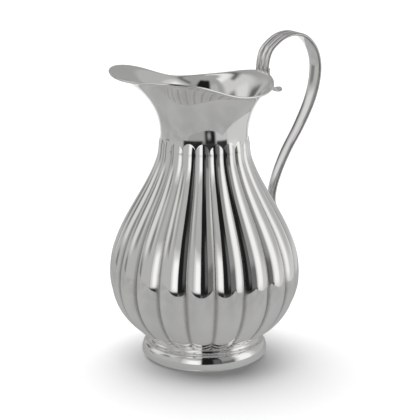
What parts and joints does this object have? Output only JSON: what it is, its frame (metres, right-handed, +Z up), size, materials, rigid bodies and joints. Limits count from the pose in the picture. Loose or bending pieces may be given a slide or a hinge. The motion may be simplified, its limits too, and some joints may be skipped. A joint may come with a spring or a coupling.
{
  "type": "water pitcher",
  "caption": "Silver water pitcher with a lobed pear-shaped bowl, a plain flared neck with a pouring lip, a moulded foot ring and a tall reeded strap handle.",
  "frame": {"origin": "on the table, under the middle of the pitcher's whole length from the lip to the handle; the bowl's own axis stands 14.5 mm towards -X from it, at Y = 0", "axes": "+Z up, the pouring lip points to -X and the handle to +X; the XZ plane is the plane of symmetry"},
  "size_m": [0.1668, 0.1348, 0.2268],
  "materials": {
    "polished_silver": "polished silver, mirror bright with fine polishing marks",
    "burnished_silver": "burnished silver wire, bright with slight wear",
    "satin_silver": "silver left slightly dull where polish doesn't reach"
  },
  "bodies": {
    "root": {"bowl": "polished_silver", "neck": "polished_silver", "rim_wire": "burnished_silver", "foot_collar": "polished_silver", "foot_moulding": "polished_silver", "stand_ring": "burnished_silver", "handle_strap": "polished_silver", "handle_liner": "polished_silver", "handle_tail": "polished_silver", "handle_pad": "satin_silver"}
  },
  "joints": []
}
